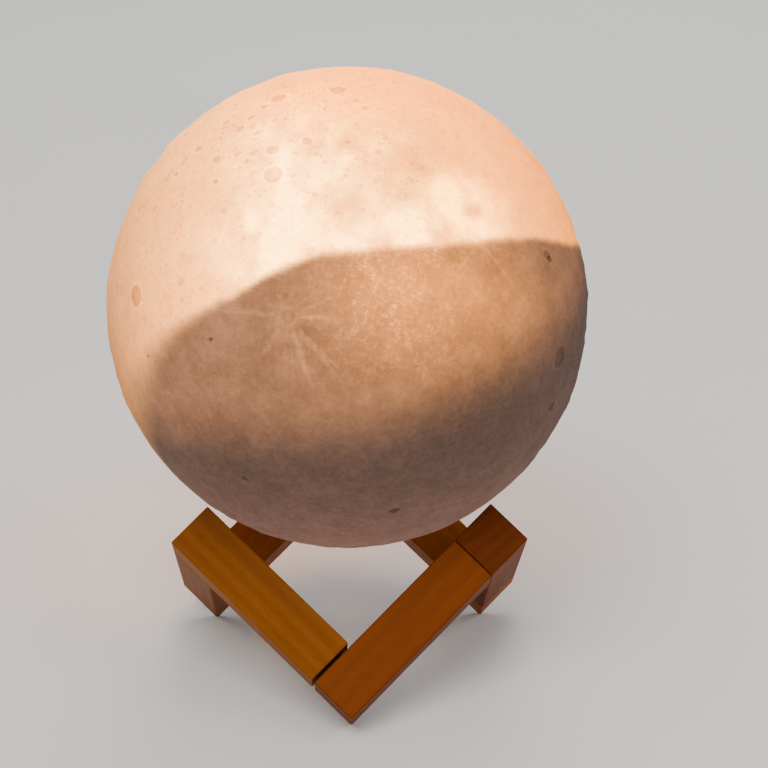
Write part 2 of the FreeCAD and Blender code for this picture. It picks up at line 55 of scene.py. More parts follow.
# ------------------------------------------------------------ sizes read from the frame, in metres
SHELL_LOW, SHELL_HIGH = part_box("moon_shell")
GLOBE_RADIUS = SHELL_HIGH.x
GLOBE_CENTRE = np.array([0.0, 0.0, SHELL_HIGH.z - GLOBE_RADIUS])
MOUTH_DROP = GLOBE_CENTRE[2] - SHELL_LOW.z
MOUTH_LATITUDE = -math.degrees(math.asin(MOUTH_DROP / GLOBE_RADIUS))

# ------------------------------------------------------------ fixed values, in metres
INNER_ROWS = 20               # grid rows on the inside of the shell
FRONT_SQUEEZE = 0.22          # how much closer the grid's columns lie at the front
DEEPEST_PIT = 0.7             # of the wall
MOUTH_MARGIN = 6.0            # degrees above the mouth in which the relief fades in
INNER_GLOW = 0.5              # light of the shell's inside, as a share of the pale glow
FLOOR_REACH = 6.0             # from the middle of the floor to its sides
FLOOR_LINES = 9               # grid lines of the floor each way
FLOOR_DROP = 0.0002           # from the part's lowest point down to the floor
LIGHT_AIM = (0.0, 0.0, 0.09)  # point that the lights face
SENSOR_WIDTH = 36.0           # of the camera, in millimetres
CLIP_START = 0.05             # of the camera
# name, place, diameter, share of the key light's power, colour
LIGHTS = [
    ("key_light", (-0.30, -0.95, 1.25), 0.9, 1.0, (1.0, 0.97, 0.93)),
    ("fill_light", (0.95, -0.55, 0.75), 1.0, 0.30, (0.95, 0.97, 1.0)),
    ("back_light", (0.15, 1.0, 0.95), 0.8, 0.35, (1.0, 0.99, 0.97)),
]
# the bars, each with what its wood's colour is multiplied by; the darker values of the two legs are
# painted shade, and the front-right bar's is partly its own tone and partly painted shade
BAR_TONES_AND_SHADE = {
    "front_left_bar": (0.98, 0.92, 1.0), "front_right_bar": (0.70, 0.50, 0.60),
    "right_leg_bar": (0.54, 0.36, 0.50), "back_right_bar": (1.0, 0.86, 0.80),
    "back_left_bar": (1.04, 0.90, 0.80), "left_leg_bar": (0.80, 0.76, 0.80),
}
GRAIN_SHIFT = (0.37, 0.11, 0.23)  # from one bar's piece of the wood pattern to the next
PINS = ["right_high_pin", "back_right_pin", "back_high_pin", "back_left_pin", "left_high_pin"]


# ------------------------------------------------------------ settings
class GlobeSettings(bpy.types.PropertyGroup):
    """Relief and glow of the globe"""
    wall: bpy.props.FloatProperty(
        name="Wall", description="Thickness of the shell", default=0.0018, unit="LENGTH", precision=4)
    relief: bpy.props.FloatProperty(
        name="Relief", description="Depth of the roughest ground", default=0.0005, unit="LENGTH",
        precision=5)
    crater_count: bpy.props.IntProperty(
        name="Craters", description="Small craters pressed into the whole globe", default=1200, min=0)
    columns: bpy.props.IntProperty(
        name="Columns", description="Grid columns round the globe", default=480, min=32)
    rows: bpy.props.IntProperty(
        name="Rows", description="Grid rows from the top to the mouth", default=180, min=16)
    pale: bpy.props.FloatVectorProperty(
        name="Pale glow", description="Upper part, fully lit from inside", subtype="COLOR", max=20,
        default=(5.4, 1.92, 0.38))
    hot: bpy.props.FloatVectorProperty(
        name="Hot patches", description="Brightest patches", subtype="COLOR", max=20,
        default=(12.5, 6.0, 1.3))
    tan: bpy.props.FloatVectorProperty(
        name="Tan glow", description="Middle part, in half light", subtype="COLOR", max=20,
        default=(0.49, 0.197, 0.085))
    honey: bpy.props.FloatVectorProperty(
        name="Honey glow", description="Warmer strip of the middle part", subtype="COLOR", max=20,
        default=(2.0, 0.60, 0.085))
    mauve: bpy.props.FloatVectorProperty(
        name="Mauve glow", description="Lower part, in shade", subtype="COLOR", max=20,
        default=(0.112, 0.058, 0.040))
    rose: bpy.props.FloatVectorProperty(
        name="Rose glow", description="Lowest part, a little lighter again", subtype="COLOR", max=20,
        default=(0.215, 0.108, 0.080))


class WoodSettings(bpy.types.PropertyGroup):
    """Finish of the bars"""
    light: bpy.props.FloatVectorProperty(
        name="Light wood", description="Early wood between the grain lines", subtype="COLOR",
        default=(0.205, 0.064, 0.0045))
    dark: bpy.props.FloatVectorProperty(
        name="Dark wood", description="Late wood in the grain lines", subtype="COLOR",
        default=(0.166, 0.049, 0.0033))
    gloss: bpy.props.FloatProperty(
        name="Roughness", description="Roughness of the oiled surface", default=0.48, min=0, max=1,
        subtype="FACTOR")


class BaseSettings(bpy.types.PropertyGroup):
    """Finish of the base unit and what is inside it"""
    shell: bpy.props.FloatVectorProperty(
        name="Base plastic", description="Ring, cover and housing", subtype="COLOR",
        default=(0.80, 0.78, 0.73))
    button: bpy.props.FloatVectorProperty(
        name="Button plastic", description="Push button", subtype="COLOR", default=(0.62, 0.62, 0.60))
    metal: bpy.props.FloatVectorProperty(
        name="Plated metal", description="Screws, pins and socket", subtype="COLOR",
        default=(0.60, 0.60, 0.62))


class StageSettings(bpy.types.PropertyGroup):
    """Floor, lights and camera"""
    floor: bpy.props.FloatVectorProperty(
        name="Floor", description="Colour of the floor", subtype="COLOR", default=(0.82, 0.81, 0.79))
    sky: bpy.props.FloatProperty(
        name="Sky", description="Strength of the even light from all sides", default=0.55, min=0)
    key: bpy.props.FloatProperty(
        name="Key light", description="Power of the soft light from the left", default=15.0, min=0,
        unit="POWER")
    lens: bpy.props.FloatProperty(
        name="Lens", description="Focal length", default=132.5, min=1, unit="CAMERA")
    pitch: bpy.props.FloatProperty(
        name="Pitch", description="How far the camera looks down", default=math.radians(21.578),
        subtype="ANGLE")
    yaw: bpy.props.FloatProperty(
        name="Yaw", description="How far the camera is turned to the right",
        default=math.radians(1.255), subtype="ANGLE")
    roll: bpy.props.FloatProperty(
        name="Roll", description="How far the camera is tilted", default=math.radians(-0.068),
        subtype="ANGLE")
    target: bpy.props.FloatVectorProperty(
        name="Target", description="Point at the middle of the picture", subtype="TRANSLATION",
        default=(0.011346, 0.0, 0.092659))
    distance: bpy.props.FloatProperty(
        name="Distance", description="From the camera to the target", default=0.88747, unit="LENGTH")


# ------------------------------------------------------------ numbers on arrays
def direction(longitude, latitude):
    """Unit vectors for angles in degrees: longitude 0 faces the front, -Y, and grows to the right."""
    lon, lat = np.radians(longitude), np.radians(latitude)
    return np.stack([np.cos(lat) * np.sin(lon), -np.cos(lat) * np.cos(lon), np.sin(lat)], axis=-1)


def smoothstep(low, high, value):
    """0 below low, 1 above high, and 3t^2 - 2t^3 between them."""
    t = np.clip((value - low) / (high - low), 0.0, 1.0)
    return t * t * (3.0 - 2.0 * t)


def bump(points, longitude, latitude, spread):
    """A round hump of height 1: exp(-(angle / spread)^2) about a direction, spread in degrees."""
    angle = np.degrees(np.arccos(np.clip(points @ direction(longitude, latitude), -1.0, 1.0)))
    return np.exp(-(angle / spread) ** 2)


def bumps(points, patches):
    """Sum of round humps, from a table of height, longitude, latitude and spread."""
    return sum(height * bump(points, *patch) for height, *patch in patches)


def ground_noise(points, frequency, seed):
    """Smooth noise from 0 to 1: random values on a cubic lattice, blended by a smoothstep in each
    of the three directions between the eight corners of the cell that a point falls in."""
    table = np.random.default_rng(seed).random((32, 32, 32))
    scaled = points * frequency + 100.0
    cell = np.floor(scaled).astype(int)
    t = scaled - cell
    t = t * t * (3.0 - 2.0 * t)
    total = np.zeros(len(points))
    for corner in np.ndindex(2, 2, 2):
        index = (cell + corner) % 32
        weight = np.prod(np.where(np.array(corner) == 1, t, 1.0 - t), axis=1)
        total += weight * table[index[:, 0], index[:, 1], index[:, 2]]
    return total


def rough_ground(points, frequency, octaves, seed):
    """Sum of octaves of smooth noise about 0, each twice as fine and 0.55 times as high."""
    total = np.zeros(len(points))
    height = 1.0
    for octave in range(octaves):
        total += height * (ground_noise(points, frequency * 2 ** octave, seed + octave) - 0.5)
        height *= 0.55
    return total


def crater_ground(points, centres, radii, depths):
    """Height of the ground with all craters. With t the distance from the middle in crater radii,
    a crater is a flat floor with a steep wall, -depth for t < 0.62 rising to 0 at t = 1, and a rim
    of 0.34 of the depth, a Gaussian ring about t = 1.06."""
    height = np.zeros(len(points))
    order = np.argsort(radii)[::-1]
    for block in np.array_split(order, max(1, len(order) // 64)):
        chord = 2.0 - 2.0 * (points @ centres[block].T)
        t = np.sqrt(np.maximum(chord, 0.0)) / radii[block]
        floor = 1.0 - smoothstep(0.62, 1.0, t)
        rim = np.exp(-((t - 1.06) / 0.17) ** 2)
        height += ((rim * 0.34 - floor) * depths[block]).sum(axis=1)
    return height


# ------------------------------------------------------------ the globe's marks, in degrees
# longitude, latitude, radius of round flat craters. They were listed from the photo, apart from the
# last two rows, which are made up for the sides and the back that it doesn't show
FLAT_CRATERS = np.array([
    (-31.7, 56.5, 1.6), (-26.6, 49.7, 2.2), (-18.2, 60.1, 1.3), (-57.0, 59.6, 1.3), (-58.6, 63.5, 1.2),
    (-40.0, 52.2, 1.1), (-45.1, 59.9, 0.9), (-31.6, 60.6, 0.6), (-21.4, 56.3, 0.7), (-70.0, 59.1, 1.0),
    (-60.0, 71.8, 1.9), (-60.1, 67.9, 1.1), (-27.8, 64.3, 0.6), (-16.1, 71.2, 0.7), (-22.4, 73.4, 0.7),
    (-13.4, 67.2, 0.6), (-11.0, 80.0, 1.9), (15.3, 59.4, 0.9), (0.3, 60.5, 1.0), (-7.9, 60.8, 0.8),
    (-1.0, 50.7, 0.7), (9.8, 50.7, 0.8), (-53.4, 50.2, 1.2), (-47.0, 49.4, 0.8), (-47.4, 45.1, 1.1),
    (-60.2, 55.1, 0.8), (-68.4, 50.3, 1.2), (6.9, 63.6, 0.6), (17.0, 68.8, 0.7), (-46.8, 63.9, 0.6),
    (-12.5, 46.1, 0.6), (-60.4, 13.5, 2.6), (58.8, 22.9, 1.3), (57.5, -1.3, 2.6), (57.4, -14.1, 1.5),
    (150.0, 40.0, 3.2), (128.0, 22.0, 2.6), (-150.0, 15.0, 3.0), (-120.0, 45.0, 2.4),
    (-170.0, -20.0, 3.0), (100.0, -25.0, 2.4), (-95.0, -12.0, 2.2), (165.0, 65.0, 2.0),
])
# the same, for small and very dark marks, of which the last two are made up
DARK_MARKS = np.array([
    (-33.5, 10.0, 0.75), (-32.0, 9.2, 0.35), (-27.7, -25.0, 0.95), (-52.6, 1.4, 0.5), (12.4, -34.9, 1.2),
    (59.5, 21.8, 0.8), (140.0, 5.0, 0.8), (-110.0, 20.0, 0.9),
])
# young craters with light rays: longitude, latitude and radius of the crater, then for each ray its
# bearing from north through east, start and end as angles from the crater, half width, strength
RAY_CRATERS = [
    (-14.3, 17.7, 1.9, [
        (-90.0, 2.0, 21.0, 0.36, 0.80), (-86.5, 2.5, 19.0, 0.26, 0.60), (-148.0, 3.0, 14.5, 0.50, 0.60),
        (-163.0, 3.0, 9.0, 0.36, 0.40), (-179.0, 4.0, 21.0, 0.50, 0.45), (172.0, 6.0, 20.0, 0.30, 0.35),
        (158.5, 2.5, 18.5, 0.50, 0.90), (151.0, 3.0, 9.0, 0.30, 0.60), (137.0, 4.0, 20.0, 0.36, 1.00),
        (133.0, 6.0, 18.0, 0.26, 0.85), (141.5, 3.0, 11.0, 0.30, 0.70), (88.0, 2.5, 15.0, 0.40, 0.80),
        (104.0, 2.5, 7.0, 0.30, 0.50), (42.0, 2.5, 11.0, 0.30, 0.50), (63.0, 2.5, 16.0, 0.32, 0.55),
        (-29.0, 2.0, 6.0, 0.30, 0.55), (-62.0, 2.0, 8.0, 0.30, 0.45), (8.0, 2.0, 6.0, 0.30, 0.35),
    ]),
    (36.5, 31.0, 0.8, [
        (150.0, 1.0, 15.0, 0.28, 0.65), (171.0, 2.0, 11.0, 0.24, 0.45), (192.0, 1.0, 7.0, 0.24, 0.30),
        (116.0, 1.0, 8.0, 0.24, 0.40), (240.0, 1.0, 13.0, 0.28, 0.40), (62.0, 1.0, 7.0, 0.24, 0.40),
    ]),
]
# longitude and latitude of the line where the full light is cut off, all the way round: listed from
# the photo in front, and made up behind
CUT_OFF = np.array([
    (-180.0, -50.5), (-150.0, -52.8), (-120.0, -52.0), (-95.0, -50.0), (-80.0, -46.0), (-70.0, -38.0),
    (-64.5, -24.0), (-60.0, -12.0), (-53.5, -0.8), (-46.2, 7.2), (-40.4, 12.0), (-35.2, 16.0),
    (-18.4, 27.5), (-6.9, 31.6), (10.4, 33.0), (21.6, 32.6), (42.9, 30.4), (58.0, 27.0), (89.9, 15.4),
    (120.0, -16.5), (150.0, -39.7), (180.0, -50.5),
])
# patches of the glow: height, longitude, latitude, spread
HOT_PATCHES = [
    (1.35, 38, 37, 7.5), (1.0, 31.5, 42, 5.5), (1.15, 18, 36.5, 6.5), (0.60, 3, 36, 8),
    (0.85, -22, 32, 11), (0.45, -16, 40, 15), (0.50, -6, 57, 15), (0.35, -34, 66, 13),
]
WARM_PATCHES = [(0.90, 15, 26, 23), (0.40, 40, 18, 15)]
BROWN_PATCHES = [
    (1.0, -10.4, 14.8, 1.7), (1.0, -14.0, 11.0, 1.6), (0.9, 29.0, 31.2, 4.0), (0.6, 38.0, 24.0, 5.0),
]
# the plane below which the globe is in shade: its normal, and its height over the globe's centre
SHADE_NORMAL = np.array([-0.148, -0.221, 0.964])
SHADE_HEIGHT = 0.031
# painted limb shade: what the full left flank and full amber, at the right flank and the crown, multiply
# the light by
LEFT_LIMB_SHADE_TINT = np.array([1.0, 1.10, 1.50])
LIMB_SHADE_AMBER_TINT = np.array([1.10, 0.72, 0.16])
# depths, in units of the relief, and the first ray crater's radius in degrees
MARK_DEPTH = 0.9
YOUNG_DEPTH = 0.8
YOUNG_RADIUS = 2.2
# scattered craters in the material: cells per globe radius, share of cells used, largest radius
CRATER_LAYERS = [(14.0, 0.40, 0.32), (25.0, 0.75, 0.38), (48.0, 0.90, 0.42)]
STROKE_TURNS = [(0.0, 0.1, 0.25), (0.3, 0.7, 0.1), (0.2, -0.6, -0.2), (0.5, 1.3, 0.0)]


def scattered_craters(count):
    """Centres, radii and depths of craters over the whole globe. Radii follow a power law from 0.6
    to 5 degrees, so that small ones are far more common."""
    rng = np.random.default_rng(11)
    centres = rng.normal(size=(count, 3))
    centres /= np.linalg.norm(centres, axis=1)[:, None]
    radii = np.minimum(0.6 * (1.0 - rng.random(count) * 0.985) ** -0.5, 5.0)
    depths = radii / 5.0 * rng.uniform(0.4, 1.0, count)
    return centres, np.radians(radii), depths


# ------------------------------------------------------------ meshes
def surface_mesh(name, points, faces):
    """A mesh from an array of points and a list of arrays of faces, with smooth faces."""
    mesh = bpy.data.meshes.new(name)
    mesh.from_pydata(points, [], [tuple(face) for block in faces for face in block.tolist()])
    mesh.polygons.foreach_set("use_smooth", np.ones(len(mesh.polygons), dtype=bool))
    mesh.update()
    return mesh


def show(mesh, body):
    """An object for a finished mesh, at the origin, riding on a body of the frame."""
    piece = bpy.data.objects.new(mesh.name, mesh)
    bpy.context.scene.collection.objects.link(piece)
    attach(piece, body)
    return piece


def lathe_faces(rows, columns):
    """Quads of a grid of rows by columns that closes on itself round its columns, then two fans
    of triangles that close its first and last rows on two poles, numbered after the grid."""
    row, column = np.meshgrid(np.arange(rows - 1), np.arange(columns), indexing="ij")
    following = (column + 1) % columns
    quads = np.stack([
        row * columns + column, (row + 1) * columns + column,
        (row + 1) * columns + following, row * columns + following,
    ], axis=-1).reshape(-1, 4)
    ring = np.arange(columns)
    after = (ring + 1) % columns
    first, last = rows * columns, rows * columns + 1
    base = (rows - 1) * columns
    top = np.stack([np.full(columns, first), ring, after], axis=-1)
    low = np.stack([np.full(columns, last), base + after, base + ring], axis=-1)
    return [quads, top, low]


# ------------------------------------------------------------ node trees
def shade(name):
    """A new material and its node tree, with a Principled shader."""
    material = bpy.data.materials.new(name)
    material.use_nodes = True
    tree = material.node_tree
    return material, tree, tree.nodes["Principled BSDF"]


def add(tree, kind, inputs=None, **settings):
    """A node with its settings, and input sockets by name or number: a value, or a socket to link."""
    node = tree.nodes.new("ShaderNode" + kind)
    for key, value in settings.items():
        setattr(node, key, value)
    for key, value in (inputs or {}).items():
        if isinstance(value, bpy.types.NodeSocket):
            tree.links.new(value, node.inputs[key])
        else:
            node.inputs[key].default_value = value
    return node


def ramp(tree, fac, stops):
    """A colour ramp: stops are (place, colour or grey level)."""
    node = add(tree, "ValToRGB", {"Fac": fac})
    elements = node.color_ramp.elements
    while len(elements) < len(stops):
        elements.new(0.5)
    for element, (position, colour) in zip(elements, stops):
        element.position = position
        grey = isinstance(colour, (int, float))
        element.color = (colour, colour, colour, 1.0) if grey else (*colour, 1.0)
    return node.outputs["Color"]


def blend_colours(tree, mode, fac, a, b):
    """Mix node on colours."""
    return add(tree, "Mix", {0: fac, 6: a, 7: b}, data_type="RGBA", blend_type=mode).outputs[2]


def scale_up(tree, a, b):
    """Product of two values."""
    return add(tree, "Math", {0: a, 1: b}, operation="MULTIPLY").outputs[0]


def higher(tree, a, b):
    """The higher of two values."""
    return add(tree, "Math", {0: a, 1: b}, operation="MAXIMUM").outputs[0]


def remap(tree, value, source, target, **settings):
    """A value moved from one range, (low, high), to another."""
    return add(tree, "MapRange", {
        "Value": value, "From Min": source[0], "From Max": source[1],
        "To Min": target[0], "To Max": target[1],
    }, **settings).outputs[0]


def part_along(tree, points, axis):
    """Dot product of points with a fixed axis."""
    return add(tree, "VectorMath", {0: points, 1: tuple(axis)}, operation="DOT_PRODUCT").outputs["Value"]


def distance_to(tree, points, spot):
    """Straight distance from points to a fixed spot."""
    return add(tree, "VectorMath", {0: points, 1: tuple(spot)}, operation="DISTANCE").outputs["Value"]


def stretch(tree, points, factors):
    """Points multiplied along X, Y and Z."""
    return add(tree, "VectorMath", {0: points, 1: factors}, operation="MULTIPLY").outputs[0]


def dim(tree, colour, factor):
    """A colour or vector multiplied by one value."""
    return add(tree, "VectorMath", {0: colour, "Scale": factor}, operation="SCALE").outputs[0]


def add_bump(tree, shader, height, strength, distance):
    """Bump from a height, on the shader's normal."""
    node = add(tree, "Bump", {"Height": height, "Strength": strength, "Distance": distance})
    tree.links.new(node.outputs[0], shader.inputs["Normal"])


def place(tree, turn=(0, 0, 0), scale=(1, 1, 1)):
    """Object coordinates, turned and scaled."""
    coordinates = add(tree, "TexCoord").outputs["Object"]
    return add(tree, "Mapping", {"Vector": coordinates, "Rotation": turn, "Scale": scale}).outputs[0]


# ------------------------------------------------------------ globe
def log_mix(colours, weights):
    """Weighted geometric mean of colours: exp of the mean of their logarithms."""
    weights = np.stack(weights, axis=1)
    weights = weights / weights.sum(axis=1)[:, None]
    return np.exp(weights @ np.log(np.array(colours)))


def lit_share(points):
    """1 where the globe is fully lit, above the cut-off line, and 0 below it, with a soft edge that
    is wider at the left, where the line runs steeply down."""
    longitude = np.degrees(np.arctan2(points[:, 0], -points[:, 1]))
    latitude = np.degrees(np.arcsin(np.clip(points[:, 2], -1.0, 1.0)))
    line = np.interp(longitude, CUT_OFF[:, 0], CUT_OFF[:, 1])
    slope = np.interp(longitude, CUT_OFF[:, 0], np.gradient(CUT_OFF[:, 1], CUT_OFF[:, 0]))
    above = (latitude - line) / np.hypot(1.0, slope)
    above += (ground_noise(points, 5.0, 31) - 0.5) * 1.4 + (ground_noise(points, 22.0, 33) - 0.5) * 0.9
    softness = 1.2 + 2.2 * bump(points, -50, 0, 22) + 9.0 * bump(points, -66, -20, 20)
    return smoothstep(-1.0, 1.0, above / softness)


def glow_colours(points, settings):
    """Light that leaves each point, without its fine detail. Above the cut-off line the globe is
    fully lit, below a nearly level plane it is in shade, and between them it is in half light. Each
    part has its own colour, mixed as a geometric mean. Painted limb shade on the flanks and the
    crown, patches and noise then scale it by exp of a sum of humps."""
    lit = lit_share(points)
    level = points @ SHADE_NORMAL - SHADE_HEIGHT + 0.13 * bump(points, -62, -20, 22)
    above_shade = smoothstep(-0.15, 0.20, level)
    bottom = smoothstep(0.35, 0.95, -points[:, 2])
    warm = np.clip(bumps(points, WARM_PATCHES), 0, 1)
    ragged = 1.0 + 1.5 * rough_ground(points, 8.0, 3, 71)
    patches = np.clip(bumps(points, HOT_PATCHES) * ragged, 0, 1) * lit
    rosy = np.clip(bump(points, 14, 50, 12) * (1.0 + 2.0 * rough_ground(points, 10.0, 3, 73)), 0, 1)
    upper = lit * (1 - np.clip(patches, 0, 0.95))
    middle = (1 - lit) * above_shade
    lower = (1 - lit) * (1 - above_shade)
    glow = log_mix(
        [settings.pale[:], settings.hot[:], settings.tan[:], settings.honey[:], settings.mauve[:],
         settings.rose[:]],
        [upper, patches + 1e-6, middle * (1 - warm), middle * warm,
         lower * (1 - bottom), lower * bottom],
    )
    # painted limb shade: the glow darkens towards the left and right flanks, and in the lit part turns
    # paler at the left flank and warmer at the right flank and the crown
    left = bump(points, -92, 8, 40)
    right = bump(points, 98, 12, 42)
    crown_limb_shade = 0.45 * smoothstep(0.84, 1.0, points[:, 2]) + 0.35 * bump(points, 62, 60, 26)
    glow *= np.exp(-left * (0.45 + 0.70 * lit))[:, None]
    glow *= np.exp(-right * (0.85 + 0.20 * lit))[:, None]
    glow *= np.exp(-0.34 * lit * rosy)[:, None]
    glow *= np.exp(-1.9 * lit * bump(points, -78, -34, 32))[:, None]
    glow *= LEFT_LIMB_SHADE_TINT ** (left * lit)[:, None]
    brown = bumps(points, BROWN_PATCHES) * (1 - lit)
    glow *= np.exp(-0.42 * brown)[:, None]
    low_right = bump(points, 27, -4, 20)
    low_left = bump(points, -27, -8, 16)
    near_edge = bump(points, -32, 13, 9)
    glow *= np.exp((0.16 * near_edge - 0.34 * low_right - 0.18 * low_left) * (1 - lit))[:, None]
    limb_shade_amber = np.clip(0.8 * right + crown_limb_shade, 0, 1) * lit
    glow *= LIMB_SHADE_AMBER_TINT ** limb_shade_amber[:, None]
    mottle = rough_ground(points, 9.0, 3, 41)
    glow *= np.exp(mottle * (0.14 + 0.16 * (1 - lit) * above_shade))[:, None]
    return glow


def crater_tone(tree, reach):
    """Floor, dark outline and pale rim of round spots, from the distance over the radius: the floor
    is a flat disc, the outline a thin ring on its edge and the rim a ring just outside it."""
    half = scale_up(tree, reach, 0.5)
    floor = ramp(tree, half, [(0.0, 0.55), (0.36, 0.75), (0.52, 0.0)])
    outline = ramp(tree, half, [(0.28, 0.0), (0.42, 1.0), (0.54, 0.0)])
    rim = ramp(tree, half, [(0.48, 0.0), (0.57, 1.0), (0.72, 0.0)])
    return floor, outline, rim


def crater_layer(tree, points, size, share, largest):
    """Round spots scattered through space by cells: one in some of the cells, each with a radius and
    a strength of its own, cut by the globe's surface into discs of all sizes."""
    cells = add(tree, "TexVoronoi", {"Vector": points, "Scale": size, "Randomness": 1.0})
    chance = add(tree, "SeparateColor", {"Color": cells.outputs["Color"]})
    radius = remap(tree, chance.outputs[0], (1.0 - share, 1.0), (0.04, largest))
    reach = add(tree, "Math", {0: cells.outputs["Distance"], 1: radius}, operation="DIVIDE").outputs[0]
    strength = remap(tree, chance.outputs[1], (0.0, 1.0), (0.25, 1.0))
    return [scale_up(tree, tone, strength) for tone in crater_tone(tree, reach)]


def nearest_mark(tree, points, marks):
    """The least distance over radius of a table of round marks."""
    nearest = None
    for longitude, latitude, radius in marks:
        apart = distance_to(tree, points, direction(longitude, latitude))
        reach = scale_up(tree, apart, 1.0 / math.radians(radius))
        if nearest is not None:
            reach = add(tree, "Math", {0: nearest, 1: reach}, operation="MINIMUM").outputs[0]
        nearest = reach
    return nearest


def ray_tone(tree, points, broken, crater):
    """Light rays from a young crater. A ray is a strip about a great circle: the point's part along
    the circle's normal is its distance from the ray's middle line, and its part along the ray's own
    tangent is how far out it lies. The strip fades to its sides and to its end, and noise breaks it
    up. The crater itself is a pale disc in a pale ring."""
    longitude, latitude, radius, rays = crater
    middle = direction(longitude, latitude)
    north = direction(longitude, latitude + 90)
    east = np.cross(north, middle)
    total = None
    for bearing, start, end, half_width, strength in rays:
        angle = math.radians(bearing)
        tangent = north * math.cos(angle) + east * math.sin(angle)
        off, along = [part_along(tree, points, axis) for axis in (np.cross(middle, tangent), tangent)]
        off = add(tree, "Math", {0: off}, operation="ABSOLUTE").outputs[0]
        side = remap(tree, off, (0.0, math.radians(half_width) * 2), (strength, 0.0),
                     interpolation_type="SMOOTHSTEP")
        span = (math.sin(math.radians(start)) * 0.5, math.sin(math.radians(end)))
        reach = remap(tree, along, span, (0.0, 1.0))
        fade = ramp(tree, reach, [(0.0, 0.0), (0.06, 1.0), (0.6, 0.75), (1.0, 0.0)])
        tone = scale_up(tree, side, fade)
        total = tone if total is None else higher(tree, total, tone)
    total = scale_up(tree, total, broken)
    apart = distance_to(tree, points, middle)
    ring = ramp(tree, scale_up(tree, apart, 0.33 / math.radians(radius)),
                [(0.0, 0.85), (0.14, 0.65), (0.22, 0.10), (0.33, 0.80), (0.44, 0.50), (0.80, 0.0)])
    return higher(tree, total, ring)


def stroke_tone(tree, points, turn):
    """Thin short pale strokes: the highest spots of noise that is drawn out along one axis."""
    drawn = add(tree, "Mapping", {"Vector": points, "Rotation": turn}).outputs[0]
    drawn = stretch(tree, drawn, (11.0, 84.0, 84.0))
    noise = add(tree, "TexNoise", {"Vector": drawn, "Scale": 1.0, "Detail": 1.0, "Roughness": 0.4})
    return ramp(tree, noise.outputs["Fac"], [(0.59, 0.0), (0.68, 1.0)])


def crater_masks(tree, unit, bent, lit):
    """Floors, outlines and rims of the table's craters and of the scattered ones, which are
    stronger in the lit part and about one direction in it."""
    highland = remap(tree, part_along(tree, unit, direction(-38, 58)), (0.45, 0.95), (0.30, 1.0))
    highland = scale_up(tree, highland, remap(tree, lit, (0.0, 1.0), (0.45, 1.0)))
    masks = crater_tone(tree, nearest_mark(tree, bent, FLAT_CRATERS))
    for layer in CRATER_LAYERS:
        tones = [scale_up(tree, tone, highland) for tone in crater_layer(tree, bent, *layer)]
        masks = [higher(tree, whole, tone) for whole, tone in zip(masks, tones)]
    return masks


def lace_mask(tree, unit, bent, broken, region):
    """Pale threads: strokes in four directions, broken up by noise, and strong about one direction."""
    lace = None
    for turn in STROKE_TURNS:
        strokes = stroke_tone(tree, bent, turn)
        lace = strokes if lace is None else higher(tree, lace, strokes)
    meshwork = ramp(tree, region, [(0.40, 0.30), (0.56, 1.0)])
    eastern = remap(tree, part_along(tree, unit, direction(12, 29)), (0.86, 0.98), (0.16, 1.0))
    return scale_up(tree, scale_up(tree, scale_up(tree, lace, broken), meshwork), eastern)


